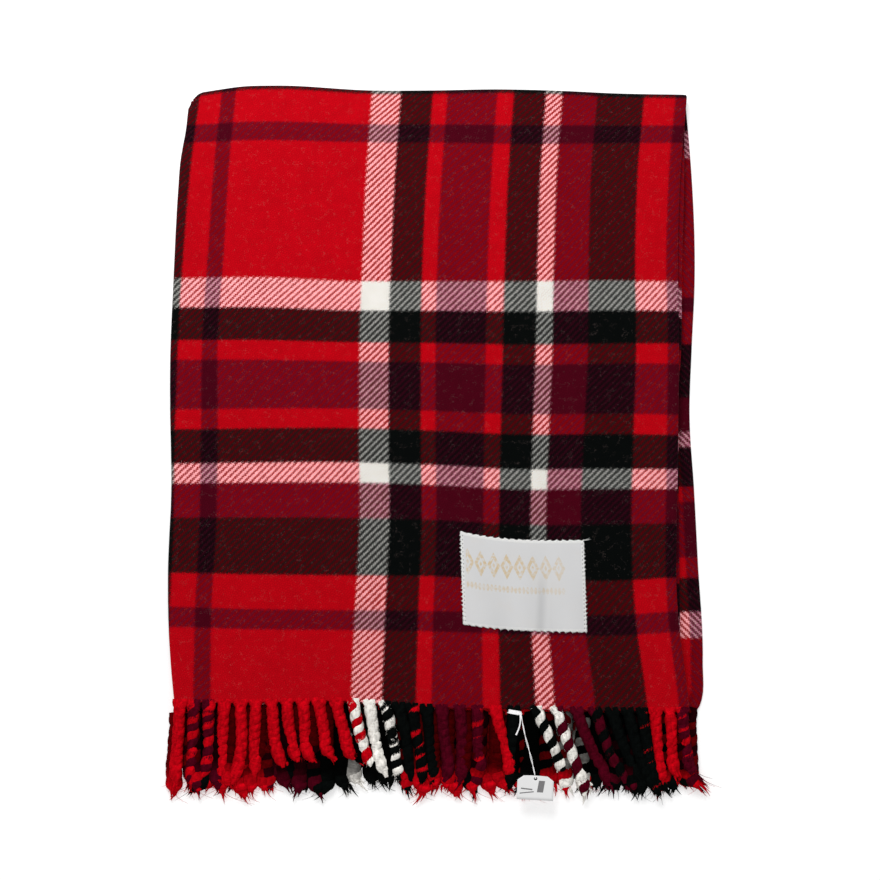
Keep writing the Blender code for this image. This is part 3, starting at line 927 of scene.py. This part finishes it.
def closed_sheet(name, points, thickness, finish, panel):
    """A thin closed sheet from a grid of points on its upper side."""
    wide, tall = points.shape[:2]
    lower = points.copy()
    lower[..., 2] -= thickness
    size = wide * tall
    index = np.arange(size).reshape(wide, tall)
    faces = []
    for i in range(wide - 1):
        for j in range(tall - 1):
            face = index[i, j], index[i + 1, j], index[i + 1, j + 1], index[i, j + 1]
            faces += faced(face, size)
    ring = outline(index)
    for k, here in enumerate(ring):
        after = ring[(k + 1) % len(ring)]
        faces.append((after, here, here + size, after + size))
    both = np.concatenate([points.reshape(-1, 3), lower.reshape(-1, 3)])
    panel = panel.reshape(-1, 2)
    return mesh_piece(name, both, faces, finish, {"panel": np.concatenate([panel, panel])})


def satin_label(finish):
    across, up = np.meshgrid(np.linspace(0, 1, 121), np.linspace(0, 1, 91), indexing="ij")
    return closed_sheet("satin_label", label_point(across, up), 0.0004, finish, np.stack([across, up], -1))


def stitches(finish):
    """Overcast stitches down the two sides, and smaller ones along the top and bottom."""
    def on_label(along, across, axis):
        return label_point(across, along) if axis == 0 else label_point(along, across)

    spinner = Spinner()
    dice = np.random.default_rng(51)
    runs = [(0.0, 23, 0, 0.0011), (1.0, 23, 0, 0.0011), (0.0, 19, 1, 0.0009), (1.0, 19, 1, 0.0009)]
    for edge, count, axis, over in runs:
        for number in range(count):
            at = (number + 0.5) / count + dice.normal(0, 0.003)
            outward = -1.0 if edge == 0.0 else 1.0
            inner = edge - outward * 0.018
            slant = 0.4 / count
            start = on_label(at, inner, axis)
            middle = on_label(at + slant / 2, edge, axis)
            finish_at = on_label(at + slant, edge, axis)
            finish_at[axis] += outward * over
            start[2] += 0.0001
            middle[2] += 0.0004
            finish_at[2] -= 0.0008
            s = np.linspace(0, 1, 7)[:, None]
            line = start * (1 - s) ** 2 + 2 * middle * s * (1 - s) + finish_at * s ** 2
            spinner.spin(line, 0.00028, 0.00024, 0.0, 5)
    corner = label_point(np.array(1.0), np.array(1.0))
    for tail in range(4):
        s = np.linspace(0, 1, 12)
        reach = dice.uniform(0.005, 0.011)
        line = np.stack([corner[0] + reach * s, corner[1] + reach * (dice.normal(0, 0.2) * s + 0.25 * s ** 2),
                         corner[2] + 0.0004 + 0.001 * np.sin(3 * s)], 1)
        spinner.spin(line, 0.0002 * (1 - 0.6 * s), 0.0002 * (1 - 0.6 * s), 0.0, 4)
    return spinner.piece("label_stitching_thread", finish)


def stitch_gap_shade(finish):
    """Painted shade: dark strokes laid in the gaps between the stitches on the label's two sides."""
    spinner = Spinner()
    for edge in (0.0, 1.0):
        inward = 1.0 if edge == 0.0 else -1.0
        for number in range(22):
            at = (number + 1.0) / 23
            start = label_point(edge + inward * 0.016, at - 0.006)
            end = label_point(edge + inward * 0.017, at + 0.006)
            s = np.linspace(0, 1, 5)[:, None]
            line = start * (1 - s) + end * s
            line[:, 2] += 0.00002
            spinner.spin(line, [0.0001, 0.0004, 0.0005, 0.0004, 0.0001], 0.00012, 0.0, 5)
    return spinner.piece("label_needle_marks", finish)


STRING_ROUTE = [
    (0.0, 0.0, 0.0),
    (0.0022, -0.012, 0.0001),
    (0.0052, -0.026, 0.0002),
    (0.0093, -0.041, 0.0002),
    (0.0128, -0.055, 0.0001),
    (0.0152, -0.066, 0.0),
    (0.0168, -0.0735, 0.0),
]
ticket_joint = [joint for joint in frame["joints"] if joint["name"] == "ticket_swing"][0]
KNOT = np.array(ticket_joint["pos_m"], float)


def route_points(count):
    """Points along the string's route, in the frame of the throw."""
    route = np.array(STRING_ROUTE)
    at = np.linspace(0, 1, len(route))
    t = np.linspace(0, 1, count)
    line = np.stack([through(list(zip(at, route[:, axis])))(t) for axis in range(3)], 1)
    line[:, 2] += 0.0045 * (1 - t) ** 1.3
    return KNOT + line


def ticket_string(finish):
    """Two strands that run side by side and cross twice."""
    path = route_points(60)
    spinner = Spinner()
    s = np.linspace(0, 1, 60)
    for strand in (0, 1):
        turn = math.pi * strand + s * math.pi * 5.0
        apart = 0.00034 + 0.0003 * np.sin(math.pi * s) ** 2
        line = path.copy()
        line[:, 0] += apart * np.cos(turn)
        line[:, 2] += 0.00024 * np.sin(turn)
        spinner.spin(line, 0.00034, 0.00034, 0.0, 8)
    return spinner.piece("ticket_string_pair", finish), path


def ticket_hitch(finish):
    """The string round the tassel, its knot and its loose tail."""
    low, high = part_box("ticket_loop")
    center = (np.array(low) + np.array(high)) / 2
    spinner = Spinner()
    for turn_number in range(3):
        angle = np.linspace(0, 2 * math.pi, 41)
        ring = np.stack([0.0076 * np.cos(angle), 0.0016 * (turn_number - 1) - 0.0012 * np.cos(angle),
                         0.0050 * np.sin(angle)], 1)
        spinner.spin(center + ring, 0.0009, 0.0009, 0.0, 8)
    s = np.linspace(0, 1, 50)
    knot = KNOT + np.stack([0.0017 * np.sin(9 * s) - 0.0012, 0.0030 - 0.0030 * s + 0.0012 * np.cos(11 * s),
                            0.0030 + 0.0014 * np.cos(10 * s)], 1)
    spinner.spin(knot, 0.00075, 0.00075, 0.0, 8)
    tail = KNOT + np.stack([-0.0015 + 0.0012 * np.sin(3 * s) - 0.0050 * s ** 2, 0.003 - 0.0255 * s,
                            0.0036 + 0.0012 * np.sin(3 * s)], 1)
    spinner.spin(tail, 0.00075 + 0.0003 * s ** 6, 0.0006, 0.0, 8)
    return spinner.piece("ticket_hitch", finish)


def ticket_card(finish):
    """A card with sloping shoulders and a punched hole, slightly bowed."""
    card_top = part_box("ticket_card")[1].z
    end = KNOT + np.array(STRING_ROUTE[-1])
    width, height = 0.043, 0.028
    hole_r, drop = 0.0020, 0.0035
    turn = math.radians(-3.0)
    shoulder = [(1, 0.80), (0.66, 0.985), (0.25, 1.0), (-0.25, 1.0), (-0.66, 0.985), (-1, 0.80)]
    profile = [(-1, 0.0), (1, 0.0)] + shoulder
    total = 96
    outer = []
    for k in range(len(profile)):
        a, b = np.array(profile[k]), np.array(profile[(k + 1) % len(profile)])
        steps = total // len(profile)
        for step in range(steps):
            outer.append(a + (b - a) * step / steps)
    outer = np.array(outer)
    outer = np.stack([outer[:, 0] * width / 2, (outer[:, 1] - 1) * height + drop], 1)
    angles = np.arctan2(outer[:, 1], outer[:, 0])
    order = np.argsort(angles)
    outer = outer[order]
    angles = angles[order]
    inner = np.stack([hole_r * np.cos(angles), hole_r * np.sin(angles)], 1)
    rings = 9
    points = []
    for ring in range(rings):
        share = (ring / (rings - 1)) ** 1.3
        points.append(inner + (outer - inner) * share)
    flat = np.array(points)
    bow = 0.0009 * (flat[..., 0] / (width / 2)) ** 2
    x = end[0] + flat[..., 0] * math.cos(turn) - flat[..., 1] * math.sin(turn)
    y = end[1] + flat[..., 0] * math.sin(turn) + flat[..., 1] * math.cos(turn)
    points = np.stack([x, y, card_top + bow], -1)
    count = len(outer)
    size = rings * count
    index = np.arange(size).reshape(rings, count)
    faces = []
    for ring in range(rings - 1):
        for k in range(count):
            n = (k + 1) % count
            face = index[ring, k], index[ring + 1, k], index[ring + 1, n], index[ring, n]
            faces += faced(face, size)
    for k in range(count):
        n = (k + 1) % count
        faces.append((index[0, k], index[0, n], index[0, n] + size, index[0, k] + size))
        faces.append((index[-1, n], index[-1, k], index[-1, k] + size, index[-1, n] + size))
    lower = points.copy()
    lower[..., 2] -= 0.0005
    both = np.concatenate([points.reshape(-1, 3), lower.reshape(-1, 3)])
    panel = np.stack([flat[..., 0] / width + 0.5, (flat[..., 1] - drop) / height + 1], -1).reshape(-1, 2)
    return mesh_piece("card_ticket", both, faces, finish, {"panel": np.concatenate([panel, panel])})


# ---------------------------------------------------------------- floor, light and camera

def studio():
    bpy.ops.mesh.primitive_plane_add(size=8.0, location=(0.0, 0.0, -0.0004))
    floor = bpy.context.object
    floor.name = "floor"
    floor.data.materials.append(plain_floor())
    world = bpy.data.worlds.new("studio")
    world.use_nodes = True
    background = world.node_tree.nodes["Background"]
    background.inputs["Color"].default_value = (1.0, 1.0, 1.0, 1.0)
    background.inputs["Strength"].default_value = 0.49
    bpy.context.scene.world = world
    lamp = bpy.data.lights.new("softbox", "AREA")
    lamp.size = 0.8
    lamp.energy = 17.5
    holder = bpy.data.objects.new("softbox", lamp)
    holder.location = (-0.3, 1.25, 1.25)
    away = -np.array(holder.location)
    tilt = math.atan2(math.hypot(away[0], away[1]), -away[2])
    holder.rotation_euler = (tilt, 0.0, math.atan2(away[1], away[0]) - math.pi / 2)
    bpy.context.scene.collection.objects.link(holder)
    bpy.context.scene.view_settings.view_transform = "Standard"


def camera():
    """Almost straight above, leaning back a little towards the fringe."""
    lens = bpy.data.cameras.new("camera")
    lens.lens = 50.0
    lens.sensor_width = 36.0
    holder = bpy.data.objects.new("camera", lens)
    lean = math.radians(8.0)
    distance = 1.521
    target = np.array([0.0075, -0.009, 0.0])
    holder.location = target + distance * np.array([0.0, -math.sin(lean), math.cos(lean)])
    holder.rotation_euler = (lean, 0.0, 0.0)
    bpy.context.scene.collection.objects.link(holder)
    bpy.context.scene.camera = holder


# ---------------------------------------------------------------- putting it together

camera()
studio()

twill = brushed_twill()
yarn = twisted_wool()
satin = label_satin()
cream_thread = sewing_thread("cream_thread", (0.95, 0.94, 0.91))
# Painted shade for the gaps between the label's stitches
gap_shade_finish = sewing_thread("needle_mark", (0.02, 0.018, 0.02))
string_finish = sewing_thread("cotton_string", (1.0, 0.99, 1.0))
card_finish = ticket_card_finish()

string, string_path = ticket_string(string_finish)
hitch = ticket_hitch(string_finish)
card = ticket_card(card_finish)

cloth = woven_cloth(twill)
# Each row: its hem, its first and last tassel, its height off the floor and how bright its painted shade
# leaves it deep down
front_row = tassel_row("tassel_wool", 0.0, 0, 32, 0.0086, 1.0, FRONT_YARNS, 11, yarn, split=True)
inner_front_row = tassel_row("inner_front_tassels", 0.0, 33, 66, 0.0068, 0.10, INNER_YARNS, 12, yarn)
inner_back_row = tassel_row("inner_back_tassels", float(PICKS), 34, 66, 0.0050, 0.14, LOWER_YARNS, 13, yarn)
bottom_row = tassel_row("bottom_tassels", float(PICKS), 0, 33, 0.0036, 0.20, BOTTOM_YARNS, 14, yarn)
label = satin_label(satin)
thread = stitches(cream_thread)
gap_shade_piece = stitch_gap_shade(gap_shade_finish)

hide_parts("front_half_cloth", "back_half_cloth")
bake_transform(cloth)

tassel_nodes = sorted(node for node in frame["nodes"] if node.startswith("tassel_"))
for piece, node in zip(reversed(front_row), tassel_nodes):
    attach(piece, "front_half")
    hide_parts(node)
for piece, node, body in (
    (inner_front_row[0], "inner_front_fringe", "front_half"),
    (inner_back_row[0], "inner_back_fringe", "back_half"),
    (bottom_row[0], "bottom_fringe", "back_half"),
    (label, "label", "front_half"),
    (thread, "label_stitching", "front_half"),
    (hitch, "ticket_loop", "front_half"),
    (string, "ticket_string", "ticket"),
    (card, "ticket_card", "ticket"),
):
    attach(piece, body)
    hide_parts(node)
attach(gap_shade_piece, "front_half")

bpy.context.view_layer.update()
